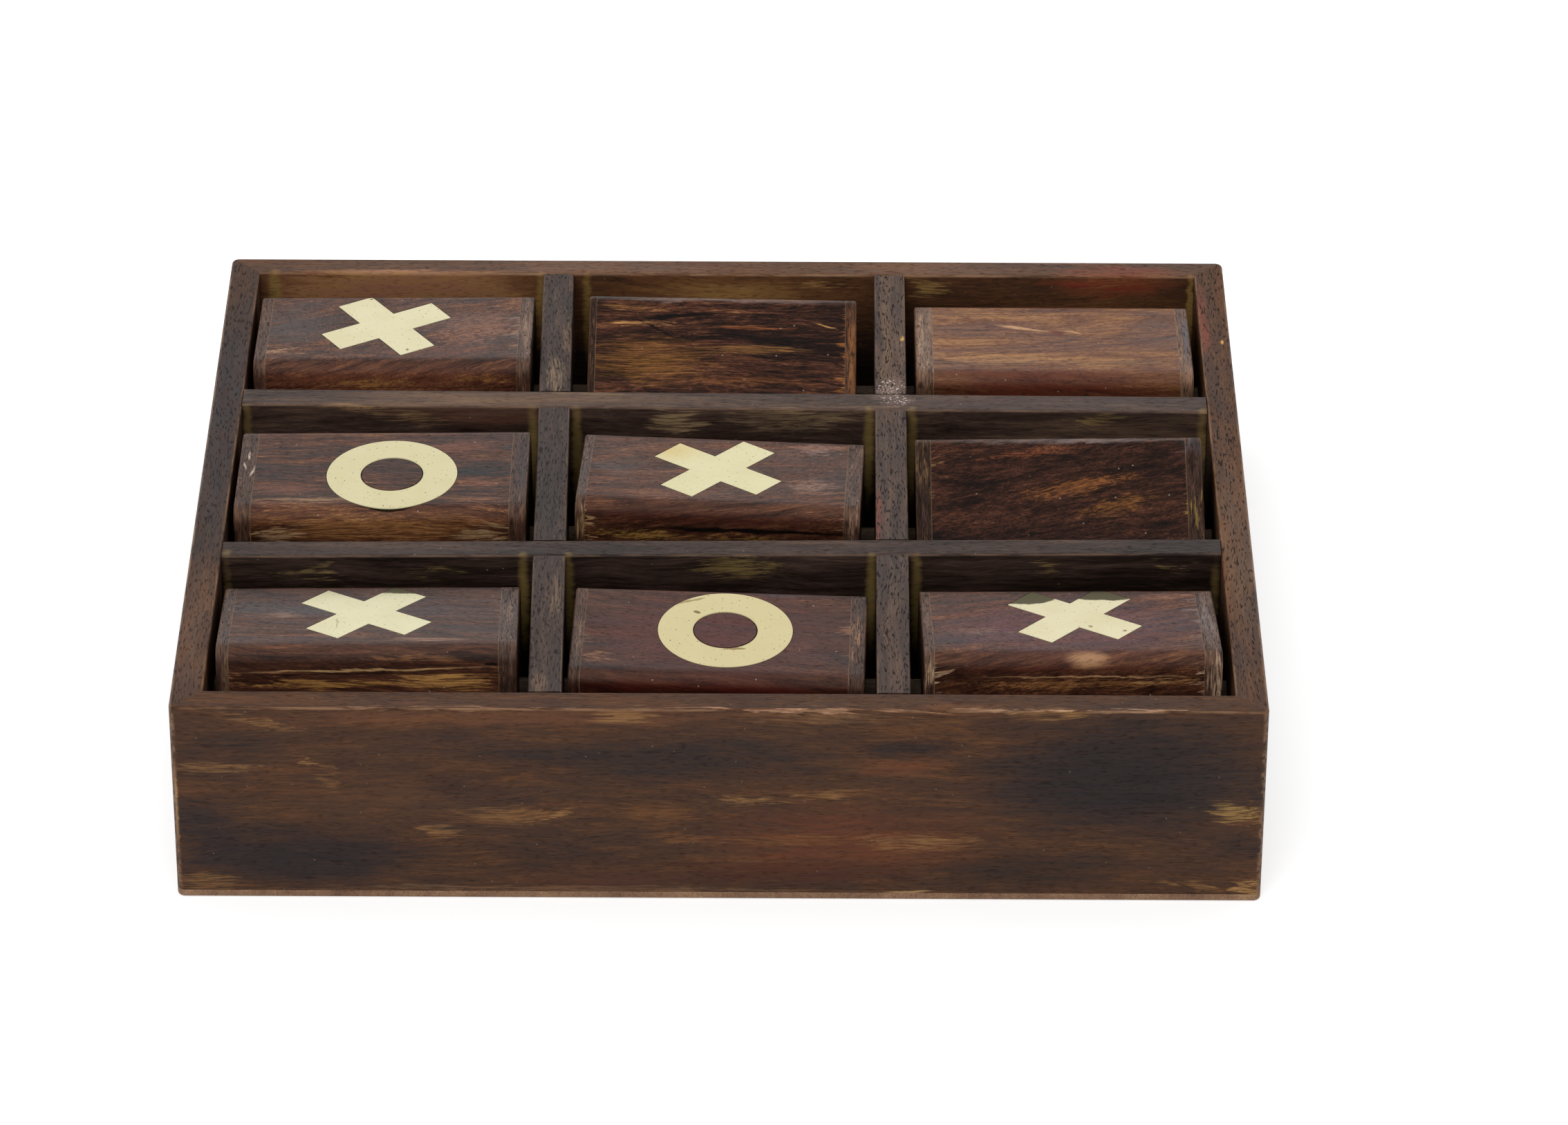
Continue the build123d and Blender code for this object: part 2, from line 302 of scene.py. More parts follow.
    # wear, where the surface turns over an edge
    if wear:
        normal = add(tree, "ShaderNodeTexCoord").outputs["Normal"]
        facing = add(tree, "ShaderNodeVectorRotate", {"Vector": normal, "Rotation": [radians(v) for v in turn]},
                     rotation_type="EULER_XYZ", invert=True).outputs[0]
        facing = add(tree, "ShaderNodeSeparateXYZ", {0: vectors(tree, "ABSOLUTE", facing)}).outputs
        most = maths(tree, "MAXIMUM", maths(tree, "MAXIMUM", facing[0], facing[1]), facing[2])
        rubbed = ranged(tree, fray[0], 0.42, 0.6, 0.0, wear)
        paint = mixed(tree, maths(tree, "MULTIPLY", ranged(tree, most, 0.985, 0.86), rubbed), paint, worn)

    # glue lines between boards
    for axis, place, hex_code, width, strength in seams:
        far = maths(tree, "ABSOLUTE", maths(tree, "SUBTRACT", split[axis], place))
        mask = ranged(tree, far, width, 0.4 * width, 0.0, strength)
        paint = mixed(tree, maths(tree, "MULTIPLY", mask, streaky), paint, hex_code)

    # pores and the coarsest figure make the surface rougher; pores and the finest figure dent it, by 0.1 mm at most
    rough = ranged(tree, figure[0], 0.3, 0.7, roughness - 0.1, roughness + 0.1)
    rough = maths(tree, "MULTIPLY_ADD", dash, 0.25, rough)
    height = maths(tree, "MULTIPLY_ADD", dash, -0.6, figure[-1])
    dented = add(tree, "ShaderNodeBump", {"Height": height, "Strength": 0.3, "Distance": 0.0001})
    surface = add(tree, "ShaderNodeBsdfPrincipled", {"Base Color": paint, "Roughness": rough, "IOR": 1.5,
                                                     "Specular IOR Level": gloss, "Normal": dented.outputs[0]})
    add(tree, "ShaderNodeOutputMaterial", {"Surface": surface.outputs[0]})
    return material


def dress(node, material):
    """Gives a piece of the CAD its one material."""
    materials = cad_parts[node].data.materials
    materials.clear()
    materials.append(material)


wall_tones = ("#150e0b", "#2e211d", "#4b3121", "#70492c", "#9c7444")
wall_layers = ((80, 15, 3, 0.5), (30, 5, 4, 0.4), (14, 0.9, 3, 0.5), (5, 0.3, 2, 0.4))
coarse_pores = (2.4, 0.45)
olive = "#85703a"
red = "#7d2c22"
tan = "#a07a4c"
front = -127
inside = 118.1
rim = 63.5
# how deep into the wood the marks of an upright face reach
thick = 12
thin = 3
# the y and z of the front wall's upper edge, which is rubbed pale
arris = (-126.4, 63.2)
front_marks = on_face(front, thick, (
    # darker, where the stain pooled
    ("soft", 112, 42, 52, 26, -0.34, "#292122", 0.6),
    ("soft", -119, 15, 46, 13, -0.24, "#2c2427", 0.5),
    ("soft", 52, 51, 20, 4, -0.25, "#2c2120", 0.4),
    ("soft", -18, 47, 60, 10, -0.16, "#2f2522", 0.4),
    ("soft", -73, 38, 14, 6, -0.14, None, 0),
    ("soft", 86, 10, 34, 9, -0.16, "#33261f", 0.4),
    ("soft", -145, 25, 16, 12, -0.14, "#2c2427", 0.4),
    ("soft", -60, 14, 50, 7, -0.1, None, 0),
    ("soft", -135, 52, 22, 4, -0.1, None, 0),
    ("soft", 146, 18, 10, 8, -0.14, None, 0),
    # redder
    ("soft", 36, 20, 52, 16, 0.08, "#683621", 0.7),
    ("soft", 16, 9, 50, 6, -0.04, "#4a2418", 0.6),
    ("soft", 50, 45, 17, 4, 0.12, "#6b3c28", 0.7),
    ("soft", -35, 7, 34, 5, 0.02, "#5a3325", 0.5),
    ("soft", -60, 60.5, 95, 4, 0.12, "#6b4430", 0.6),
    ("soft", -95, 33, 34, 12, 0.03, "#513829", 0.5),
    # lighter, where it was rubbed off
    ("streaked", -58, 28, 26, 5, 0.2, tan, 0.35),
    ("streaked", -45, 29, 9, 1.9, 0.25, tan, 0.6, -25),
    ("streaked", 8, 33.4, 19, 3, 0.2, tan, 0.5),
    ("streaked", 31, 35.4, 11, 2.4, 0.25, tan, 0.6, -8),
    ("streaked", 56, 19.4, 26, 5, 0.2, tan, 0.5),
    ("streaked", 20, 20, 30, 4, 0.12, "#83562f", 0.5),
    ("streaked", -9, 20.5, 14, 3, 0.16, "#83562f", 0.5),
    ("streaked", -28, 61, 13, 3.6, 0.25, tan, 0.6),
    ("streaked", 28, 60.8, 32, 4, 0.16, "#8a6a4a", 0.5),
    ("streaked", 94, 62.2, 24, 2, 0.25, tan, 0.5),
    ("streaked", -128, 58.6, 16, 2.2, 0.22, tan, 0.5, 14),
    ("streaked", -140, 43.6, 18, 3.4, 0.2, tan, 0.5),
    ("streaked", -112.5, 45.6, 6, 1.6, 0.25, tan, 0.5, 28),
    ("streaked", -110, 39, 4, 6, 0.12, tan, 0.2),
    ("streaked", -78, 22.5, 7, 3, 0.2, tan, 0.5),
    ("streaked", -144, 5, 14, 6, 0.2, tan, 0.4),
    ("streaked", 144, 30, 14, 4.4, 0.45, "#a88850", 0.8, 17),
    ("streaked", 138, 4.6, 18, 1.6, 0.25, tan, 0.5, 12),
    ("streaked", 150, 4, 5, 5, 0.5, "#b08a58", 0.8),
    ("streaked", -20, 30, 22, 4, 0.1, "#83562f", 0.35),
    ("firm", -151.6, 31, 0.7, 18, 0.5, "#a5845e", 0.8),
    ("firm", 53, 2.7, 9, 0.6, 0.4, "#b5946a", 0.7),
    ("streaked", -40, 3.2, 120, 1.8, 0.1, "#86684f", 0.5)))
front_marks += [
    streak((-70, *arris), (60, 0.9, 1.2), 0.4, "#b08a70", 0.6),
    streak((20, *arris), (60, 0.9, 1.2), 0.5, "#bd9278", 0.8),
    streak((100, *arris), (70, 0.9, 1.2), 0.5, "#c09a7c", 0.9)]
back_marks = on_face(inside, thin, (
    ("streaked", -116, 58.5, 12, 5, 0.5, "#8a7048", 0.6, 30),
    ("soft", -100, 57, 52, 14, 0.75, "#966650", 1),
    ("soft", 0, 57, 46, 7, 0.28, "#6b4e34", 0.4),
    ("streaked", 30, 60, 10, 3, 0.4, tan, 0.5),
    ("streaked", 61, 59, 7, 6, 0.6, "#8f7a4a", 0.8),
    ("soft", 118, 60, 26, 5, 0.16, red, 0.8),
    ("firm", -139, 52, 3, 22, 0.3, olive, 0.6),
    ("firm", 142.5, 50, 1.6, 22, 0.5, olive, 0.8),
    ("firm", -57, 50, 2.4, 22, 0.4, olive, 0.6),
    ("firm", -43, 50, 2, 22, 0.3, olive, 0.6)))
back_marks += [
    Patch((122, 121, rim), (24, 5, 2), 0.12, red, 0.55),
    Patch((60, 122, rim), (30, 6, 2), 0.1, "#80604c", 0.3),
    Patch((-40, 122, rim), (60, 6, 2), 0.1, "#765e50", 0.3),
    # painted shade: the back wall's inner face darker towards the bottom
    Patch((0, inside, 20), (170, 3, 34), -0.5)]
# the side walls' own axes are turned: their X is the board's Y and their Y is the board's -X
left_marks = [
    Patch((-85, 148, rim), (46, 8, 4), 0.12, "#665248", 0.4),
    Patch((40, 148, rim), (80, 8, 4), -0.12, "#383639", 0.6),
    # painted shade: the left wall's inner face darker towards the bottom
    Patch((0, 143.5, 12), (170, 5, 52), -1.2)]
right_marks = [
    Patch((92, -144.6, rim), (26, 3, 4), 0.1, "#8a3a2c", 0.55),
    firm((78, -149.8, rim), (2, 1, 1.5), 0.7, "#d8a458", 0.9),
    Patch((-40, -148, rim), (70, 8, 4), 0.06, "#7a5f4a", 0.4),
    # painted shade: the right wall's inner face darker towards the bottom
    Patch((0, -143.5, 12), (170, 5, 52), -1.2)]
# each wall's turn of axes in degrees, seed, base tone, marks, share of pores and gloss
walls = {
    "front_wall": (0, 1, 0.48, front_marks, 0.12, 0.18),
    "back_wall": (0, 2, 0.56, back_marks, 0.3, 0.3),
    "left_wall": (90, 3, 0.42, left_marks, 0.5, 0.22),
    "right_wall": (90, 4, 0.5, right_marks, 0.75, 0.22)}
for wall, (quarter, seed, base, patches, pores, gloss) in walls.items():
    dress(wall, stained_wood(f"sheesham_stained_planed_{wall}", wall_tones, wall_layers, turn=(0, 0, quarter),
                             seed=seed, base=base, patches=patches, pores=pores, pore_size=coarse_pores, dust=0.2,
                             wear=0.8, roughness=0.5, gloss=gloss))

# Base board.
# A thin board of paler wood glued under the walls; only its edge shows, and its pores stand upright there.
base_tones = ("#30221a", "#553d2d", "#7a5a45", "#957359", "#b08d6a")
base_layers = ((90, 20, 3, 0.8), (40, 4, 3, 0.6), (9, 0.9, 2, 0.5), (4, 0.35, 1, 0.4))
dress("base_board", stained_wood("sheesham_stained_thin_board", base_tones, base_layers, turn=(0, 0, 90), seed=5,
                                 base=0.72, pores=0.3, wear=0.4, roughness=0.6, gloss=0.25))

# Dividers.
# Two strips across and two from front to back, half-lapped. Their sides carry painted shade that makes them darker
# than their tops, more so towards the bottom, with olive patches where the stain did not reach into the corners.
divider_tones = ("#0f0b09", "#231914", "#40302a", "#5f4a3c", "#8b7050")
divider_layers = ((110, 12, 3, 0.9), (40, 2.4, 4, 0.7), (13, 0.8, 3, 0.55), (5, 0.3, 2, 0.35))
back_face = 37.1
front_face = -45.7
# olive stripes up both sides of each corner that a cross divider's front makes with the strips it meets
corners = [("firm", x, 50, 2.2, 24, 0.3, olive, 0.7) for x in (-142, -57, -44, 43, 56, 142)]
back_divider_marks = on_face(back_face, thin, corners + [
    ("streaked", -95, 60, 22, 4.4, 0.4, "#8a6a44", 0.6, 12),
    ("soft", -70, 60, 30, 5, 0.1, "#6b3c28", 0.4),
    ("streaked", -14, 59, 12, 8, 0.6, "#957e5c", 0.9),
    ("streaked", 20, 60, 28, 6, 0.4, "#857052", 0.7),
    ("streaked", 110, 60, 10, 4, 0.4, olive, 0.6),
    # painted shade: the face darker towards the bottom
    ("soft", 0, 22, 170, 32, -0.6, None, 0)])
back_divider_marks += [
    Patch((-70, 42, rim), (75, 7, 4), 0.1, "#70543f", 0.6),
    streak((-108, 37.6, rim), (22, 1.6, 3), 0.25, "#9a7450", 0.6),
    Patch((51, 43, rim), (8, 5, 3), 0.1, "#86706a", 0.5),
    streak((-44, 45.5, rim), (16, 1.4, 3), 0.2, tan, 0.4),
    Patch((90, 42, rim), (50, 7, 4), 0, "#5c4640", 0.4)]
front_divider_marks = on_face(front_face, thin, corners + [
    ("streaked", -118, 58, 12, 6, 0.6, "#94804a", 0.9),
    ("streaked", -85, 58, 12, 4, 0.25, olive, 0.5),
    ("streaked", 4, 59.5, 17, 6, 0.45, olive, 0.8),
    ("streaked", 94, 59.5, 8, 5, 0.4, olive, 0.8),
    ("streaked", 128, 59.5, 8, 4.4, 0.6, "#9a8448", 0.9),
    # painted shade: the face darker towards the bottom
    ("soft", 0, 22, 170, 32, -0.6, None, 0)])
front_divider_marks += [Patch((-95, -41, rim), (40, 6, 3), 0.08, "#5e4c42", 0.3)]
left_divider_marks = [
    streak((57, 50.5, rim), (14, 4, 3), 0.34, "#937c5c", 0.7),
    streak((78, 48, rim), (12, 2.5, 3), 0.2, "#7d654c", 0.5),
    streak((-68, 47, rim), (16, 3, 3), 0.18, "#7d6650", 0.6),
    streak((-114, 50, rim), (10, 4, 3), 0.18, "#7d654c", 0.5),
    # painted shade: both sides of the strip darker towards the bottom
    Patch((0, 55, 12), (170, 5, 52), -1.2),
    Patch((0, 45.4, 12), (170, 5, 52), -1.2)]
right_divider_marks = [
    Patch((-22, -45, rim), (20, 2.2, 3), 0.1, "#8a3a2c", 0.55),
    firm((79, -53.4, rim), (1.8, 0.9, 1.5), 0.7, "#d8a458", 0.9),
    Patch((50, -49.5, rim), (7, 6, 3), 0.1, "#86706a", 0.5),
    Patch((-100, -49.5, rim), (30, 6, 3), 0, "#5a4038", 0.4),
    # painted shade: both sides of the strip darker towards the bottom
    Patch((0, -44.6, 12), (170, 5, 52), -1.2),
    Patch((0, -54.2, 12), (170, 5, 52), -1.2)]
# each divider's turn of axes in degrees, seed, base tone, share of pores and marks
dividers = {
    "cross_divider_back": (0, 6, 0.52, 0.15, back_divider_marks),
    "cross_divider_front": (0, 7, 0.38, 0.15, front_divider_marks),
    "long_divider_left": (90, 8, 0.44, 0.6, left_divider_marks),
    "long_divider_right": (90, 9, 0.51, 0.85, right_divider_marks)}
# crumbs of filler lie where the right strip was let into the back one
filler = {
    "cross_divider_back": (((51, 43, rim), (6, 5, 3)),),
    "long_divider_right": (((50, -49.5, rim), (6.5, 5.5, 3)),)}
for divider, (quarter, seed, base, pores, patches) in dividers.items():
    dress(divider, stained_wood(f"sheesham_stained_planed_{divider}", divider_tones, divider_layers, base=base,
                                turn=(0, 0, quarter), seed=seed, patches=patches, flecks=filler.get(divider, ()),
                                pores=pores, pore_size=coarse_pores, dust=0.3, wear=0.5, worn="#7d614c",
                                roughness=0.48, gloss=0.28))

# Dowels.
# Three turned rods that the tumblers spin on, stained with the tray but never polished.
dowel_tones = ("#1c1613", "#33281f", "#4b3b2d", "#65503c", "#7d6850")
dowel_layers = ((80, 3, 3, 0.9), (30, 1.2, 3, 0.6), (8, 0.5, 2, 0.4))
for row in ("back", "middle", "front"):
    low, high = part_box(f"{row}_dowel")
    middle = [v * 1000 for v in (low + high) / 2]
    dress(f"{row}_dowel", stained_wood(f"sheesham_turned_{row}_dowel", dowel_tones, dowel_layers, centre=middle,
                                       seed=10.0 + middle[1] / 10, pores=0.3, roughness=0.6, gloss=0.25))

# Tumblers.
# Nine hollow boxes with eased edges, each of two face boards, two side boards and two end caps whose grain runs
# across. They are stained darker and redder than the tray and rubbed with wax. The numbers repeat the CAD's.
tumbler_side = 47.5
tumbler_length = 83.2
tumbler_edge = 4.5
board_thickness = 8.0
axle_height = 40.024
row_middle = {"back": 82.117, "middle": -0.46, "front": -82.577}
column_middle = {"left": -99.15, "centre": -0.45, "right": 98.7}
half = tumbler_side / 2
gold = "#a5763c"
pale = "#bd9d76"
# turns and the grain's slant are in degrees; slides, lifts, added lengths, caps and shifts in millimetres
Tumbler = namedtuple("Tumbler", "row column turn roll yaw slide lift longer left_cap right_cap figure_turn "
                                "figure_shift metal base slant contrast marks")
tumblers = (
    Tumbler("back", "left", -2.8, -0.5, 0, -0.75, 0.3, 0, 3.6, 4.1, -12.6, (-2.8, 1.4), "#e7dfb8", 0.49, 13, 1.2, [
        streak((25, 0, half), (22, 18, 5), 0.12, "#946a58", 0.7, (0, 0, 20)),
        Patch((22, -6, half), (15, 1, 5), -0.3, turn=(0, 0, 22)),
        Patch((26, 7, half), (14, 0.8, 5), -0.3, turn=(0, 0, 18)),
        Patch((-30, 2, half), (14, 20, 5), -0.04, "#4c4240", 0.6),
        Patch((12, -16, half), (28, 5, 5), 0.06, "#6b3f30", 0.5),
        Patch((0, -half, 18), (60, 6, 7), 0.16, "#804a38", 0.6),
        streak((-6, -half, 17), (22, 6, 2.4), 0.35, gold, 0.6),
        streak((26, -half, 18.5), (14, 6, 2.2), 0.25, gold, 0.5),
        Patch((40, 0, half), (3, 24, 5), 0.2, "#8d7566", 0.5),
        streak((-34, -15, half), (5, 4, 5), 0.3, "#b59a7c", 0.5)]),
    Tumbler("back", "centre", -68, 0.9, 0, -0.9, -0.85, -2.2, 2.2, 3.4, 0, (0, 0), "#e8dfb6", 0.33, 1, 1.5, [
        streak((-25, -half, 11.3), (16, 6, 1.5), 0.5, "#c79258", 0.9),
        streak((8, -half, 10.4), (24, 6, 1.4), 0.3, "#9a5a30", 0.7),
        streak((-22, -half, -3), (30, 6, 15), 0.16, "#a06c2e", 0.5),
        firm((-14, -half, 14.4), (17, 6, 1.2), -0.6, turn=(0, -8, 0)),
        Patch((22, -half, -2), (18, 6, 16), -0.1),
        firm((-20, -half, 9.5), (10, 6, 0.5), -0.7, turn=(0, 31, 0)),
        firm((31, -half, 11.5), (5, 6, 0.5), 0.5, "#b98a50", 0.7, (0, 20, 0)),
        Patch((-32, -half, -8), (9, 6, 1.6), -0.6),
        # painted highlight: a grey line along the upper edge of the blank face
        Patch((0, -half, 21.2), (50, 5, 1.6), 0.06, "#8d837f", 0.5),
        Patch((39, -half, 0), (2.4, 6, 30), 0.2, "#a06430", 0.6),
        streak((-26, -half, 17.5), (14, 6, 2.4), 0.3, gold, 0.5),
        streak((8, -half, 2), (26, 6, 2.4), 0.2, gold, 0.5),
        streak((8, -half, -10), (30, 6, 3), 0.12, "#8a5428", 0.5)]),
    Tumbler("back", "right", 88, 0, 0, 0.3, -2.4, 0.3, 5.4, 4, 0, (0, 0), "#e8dfb6", 0.72, -3, 0.7, [
        firm((-9, half, -7), (10, 5, 1.2), 0.35, "#c79a72", 0.8, (0, -15, 0)),
        firm((-18.5, half, -7.8), (3, 4, 1.6), -0.2, "#5a2e28", 0.8),
        firm((1.5, half, -3.5), (2.6, 4, 2), -0.15, "#6a2c22", 0.9),
        firm((6.5, half, -4.5), (4, 4, 0.8), 0.3, "#b58a64", 0.6, (0, -15, 0)),
        streak((-12, half, 13), (34, 6, 6), 0.14, "#b0824e", 0.6),
        streak((20, half, 15), (24, 6, 5), 0.12, "#a07440", 0.5),
        Patch((-5, half, 21.4), (44, 5, 2.4), -0.1, "#6a3420", 0.7),
        Patch((0, 19, half), (50, 6, 5), -0.2, "#6a3022", 0.7),
        Patch((32, half, -8), (14, 6, 16), -0.08, "#66544f", 0.4),
        Patch((40.5, half, 0), (2.6, 6, 26), -0.1, "#56545c", 0.7),
        Patch((-39, half, 0), (3, 6, 26), 0.14, "#8f7c6e", 0.4),
        firm((41, 20, 20), (3, 6, 6), 0.2, "#a07868", 0.6)]),
    Tumbler("middle", "left", 180, -0.6, 0, 0, 0.9, 1.6, 4.9, 5, 0, (2.7, -3.1), "#dfd6ac", 0.45, 0, 1.3, [
        Patch((-28, 11, -half), (13, 4, 5), 0.1, "#7d4c3a", 0.6),
        Patch((24, -13, -half), (14, 5, 5), 0.08, "#784a3a", 0.6),
        Patch((28, 1, -half), (11, 5, 5), -0.3, "#2e2a2c", 0.6),
        streak((-20, 17, -half), (19, 2.8, 5), 0.3, "#b5906a", 0.7),
        streak((27, 17, -half), (13, 2.8, 5), 0.2, "#9a6c4a", 0.6),
        streak((28, 8, -half), (11, 3, 5), 0.16, "#8a5a44", 0.5),
        Patch((0, half, -18), (60, 6, 8), 0.2, "#7a4c2c", 0.5),
        streak((0, half, -18), (50, 5, 7), 0.3, "#a87648", 0.7),
        streak((-29, half, -16), (11, 5, 4.6), 0.5, pale, 0.9),
        streak((31, half, -16), (11, 5, 5), 0.5, pale, 0.9),
        firm((-39.6, -8, -half), (0.45, 3.4, 4), 0.6, "#c5b5a5", 1),
        firm((-38.4, 1, -half), (0.4, 4.4, 4), 0.5, "#b5a595", 0.9, (0, 0, 12)),
        firm((-40.6, -2, -half), (0.35, 3, 4), 0.5, "#b5a595", 0.9, (0, 0, -8)),
        Patch((40.6, 0, -half), (3, 24, 6), -0.14, "#3e3c42", 0.6)]),
    Tumbler("middle", "centre", -5, 0.85, -2.4, -0.5, -0.1, -0.4, 2.9, 4.7, 8.7, (-1.1, 0.7), "#e6deb2", 0.49, 6, 1, [
        streak((27, -9, half), (11, 8, 5), 0.16, "#a07c6a", 0.7, (0, 0, 10)),
        streak((28, 16, half), (8, 7, 5), 0.16, "#9c7c72", 0.8),
        Patch((-14, -16, half), (20, 4, 5), 0.05, "#6e4436", 0.5),
        Patch((-30, 0, half), (9, 16, 5), 0, "#5a504c", 0.4),
        Patch((0, -half, 19.5), (50, 6, 3.5), -0.04, "#4a1e16", 0.5),
        firm((10, -half, 15.9), (34, 6, 0.9), -0.7),
        streak((-20, -half, 13.4), (22, 6, 2.2), 0.45, "#947434", 0.8),
        streak((8, -half, 13.8), (14, 6, 1.6), 0.4, "#8a6a34", 0.7),
        streak((-39.8, -half, 16), (3.4, 6, 9), 0.4, "#b89266", 0.9),
        streak((40, -half, 18), (3.4, 6, 7), 0.35, "#ad8872", 0.8)]),
    Tumbler("middle", "right", -68, -0.85, 0, -0.2, -0.7, 0.8, 4.6, 4.8, 0, (0, 0), "#e8dfb6", 0.31, 12, 1.1, [
        streak((6, -half, 4), (24, 6, 4), 0.18, "#a0642e", 0.6, (0, -14, 0)),
        streak((18, -half, -3), (18, 6, 5), 0.16, "#8f5c28", 0.6, (0, -14, 0)),
        Patch((-30, -half, 0), (14, 6, 22), -0.08),
        # painted highlight: a grey line along the upper edge of the blank face
        Patch((5, -half, 21.2), (50, 5, 1.6), 0.1, "#857c7a", 0.6),
        streak((-39.6, -half, 10), (2.8, 6, 16), 0.25, "#8a6e44", 0.7),
        streak((-10, -half, 16), (28, 6, 2), 0.16, "#8a4c2e", 0.6, (0, -8, 0)),
        streak((39.6, -half, -4), (2.8, 6, 11), 0.4, "#947a38", 0.9),
        Patch((39.6, -half, 18), (3, 6, 6), 0, "#5e5e66", 0.6)]),
    Tumbler("front", "left", -9.7, -0.15, 0.8, 0, 0, 1.1, 3.5, 5.2, 6.9, (-1, 1.9), "#e9e2bb", 0.43, -3, 0.9, [
        streak((-25, 0.6, half), (10, 3.4, 5), 0.25, "#93755e", 0.8, (0, 0, 5)),
        streak((19, -18, half), (17, 2.2, 5), 0.25, "#997862", 0.7),
        Patch((0, 4, half), (45, 14, 5), -0.03, "#433d42", 0.5),
        streak((-8, -15, half), (24, 3, 5), 0.12, "#7a5848", 0.5),
        firm((0, -half, 16.9), (44, 6, 0.45), 0.6, "#b08f62", 0.9, (0, -1, 0)),
        streak((22, -half, 13.4), (22, 6, 4.4), 0.6, "#c08f4e", 1),
        streak((-12, -half, 12.8), (30, 6, 2.4), 0.45, "#b08244", 0.9),
        Patch((-20, -half, 20), (20, 6, 2.4), -0.1, "#4a2a1a", 0.3),
        streak((12, -half, 20.5), (24, 6, 1.4), 0.25, "#9a6a40", 0.5),
        firm((35, -half, 18.4), (3, 6, 0.5), -0.9),
        Patch((-39.6, -half, 16), (2.4, 6, 8), 0.2, "#8f6f52", 0.6),
        Patch((39.5, 3, half), (2.6, 8, 5), 0.2, "#8a766c", 0.5)]),
    Tumbler("front", "centre", 180.8, 0.75, -1.6, -0.2, -2.7, 0, 3.4, 4.6, 0, (1.7, 1), "#dccfa0", 0.42, 4, 0.8, [
        streak((39, -3, -half), (2.8, 9, 6), 0.35, "#a57a5a", 0.8),
        streak((39, 11, -half), (2.6, 6, 6), 0.3, "#93694b", 0.8),
        Patch((-39.4, 2, -half), (2.2, 14, 6), 0.15, "#7d6650", 0.5),
        streak((-33.5, 14, -half), (5, 5, 5), 0.25, "#936f50", 0.7),
        Patch((23, 7, -half), (5, 4, 5), 0.08, "#7d5c48", 0.4),
        Patch((15, -21, -half), (26, 3, 5), -0.05, "#3e3c46", 0.6),
        Patch((0, 2, -half), (50, 30, 5), -0.03, "#562a28", 0.8),
        Patch((0, half, -20), (60, 7, 4), -0.1, "#5a1c16", 0.6)]),
    Tumbler("front", "right", -8.2, 0.2, 1.1, -0.1, -0.45, 0.5, 2.9, 5.1, 6.3, (1.7, 3.5), "#eae1b9", 0.48, 9, 1, [
        firm((4, -22.6, 22), (8, 3.4, 3.6), 0.4, "#b58a64", 0.95),
        streak((0, -half, 14.8), (42, 6, 2.6), 0.32, "#9a6a3e", 0.8),
        firm((5, -half, 17.1), (38, 6, 0.4), 0.4, "#b08862", 0.8),
        streak((24, -half, 15.5), (15, 6, 2), 0.4, "#b88a58", 0.8),
        Patch((0, -half, 20), (45, 6, 2.2), 0, "#5a2a1e", 0.5),
        streak((-39.8, -half, 17), (4.4, 6, 9), 0.6, "#c9a988", 1),
        streak((39.5, -half, 17), (4.8, 6, 9), 0.5, "#c5a68c", 1),
        Patch((39.3, 2, half), (3.4, 24, 4), 0.15, "#7e7674", 0.6),
        streak((-25, -7, half), (13, 4, 5), 0.12, "#93705c", 0.6, (0, 0, 6)),
        streak((28, 16, half), (12, 4, 5), 0.14, "#9a6c56", 0.6, (0, 0, 8)),
        Patch((0, -4, half), (50, 26, 5), 0, "#633440", 0.6),
        streak((24, 2, half), (12, 3, 5), 0.1, "#845a4c", 0.5, (0, 0, 8))]),
)
board_tones = ("#0d0604", "#26130c", "#4a2a1d", "#754a30", "#b0804f")
board_layers = ((100, 8, 3, 0.7), (30, 2.4, 4, 0.5), (12, 0.75, 3, 0.75), (4, 0.28, 2, 0.7), (1.6, 0.14, 1, 0.4))
cap_tones = ("#140c08", "#33211a", "#543c30", "#7c5d48", "#ad8a66")
cap_layers = ((7, 50, 3, 0.4), (1.2, 14, 3, 0.7), (0.5, 5, 2, 0.7), (0.25, 2.4, 1, 0.5))
face_seam = half - board_thickness
# the two that show a blank face to the front were waxed less, and one was waxed more
usual_gloss = 0.32
other_gloss = {"back_centre": 0.12, "middle_right": 0.12, "front_left": 0.4}
for number, t in enumerate(tumblers):
    name = f"{t.row}_{t.column}"
    wood_name = f"sheesham_waxed_{name}"
    centre = (column_middle[t.column] + t.slide, row_middle[t.row], axle_height + t.lift)
    lies = (t.turn, t.roll, t.yaw)
    end = (tumbler_length + t.longer) / 2
    cap_seams = ((0, t.left_cap - end, "#8f7050", 0.13, 0.5), (0, end - t.right_cap, "#8f7050", 0.13, 0.5))
    seams = cap_seams + ((2, face_seam, "#0d0705", 0.16, 0.9), (2, -face_seam, "#0d0705", 0.16, 0.9))
    gloss = other_gloss.get(name, usual_gloss)
    dress(f"{name}_face_boards", stained_wood(
        f"{wood_name}_faces", board_tones, board_layers, centre, lies, t.slant, 20 + number, twin=2, rings=0.04,
        base=t.base, contrast=t.contrast, patches=t.marks, seams=seams, pores=0.35, wear=0.2, worn="#7a4f33",
        roughness=0.42, gloss=gloss))
    dress(f"{name}_side_boards", stained_wood(
        f"{wood_name}_sides", board_tones, board_layers, centre, lies, t.slant, 40 + number, twin=1, rings=0.04,
        base=t.base, contrast=t.contrast, patches=t.marks, seams=seams, pores=0.35, roughness=0.42, gloss=gloss))
    dress(f"{name}_end_caps", stained_wood(
        f"{wood_name}_caps", cap_tones, cap_layers, centre, lies, 0, 60 + number, twin=0, base=t.base - 0.06,
        patches=t.marks, seams=cap_seams, pores=0.6, pore_size=(0.3, 2.4), wear=0.25, worn="#8a6446",
        roughness=0.45, gloss=gloss, across=True))


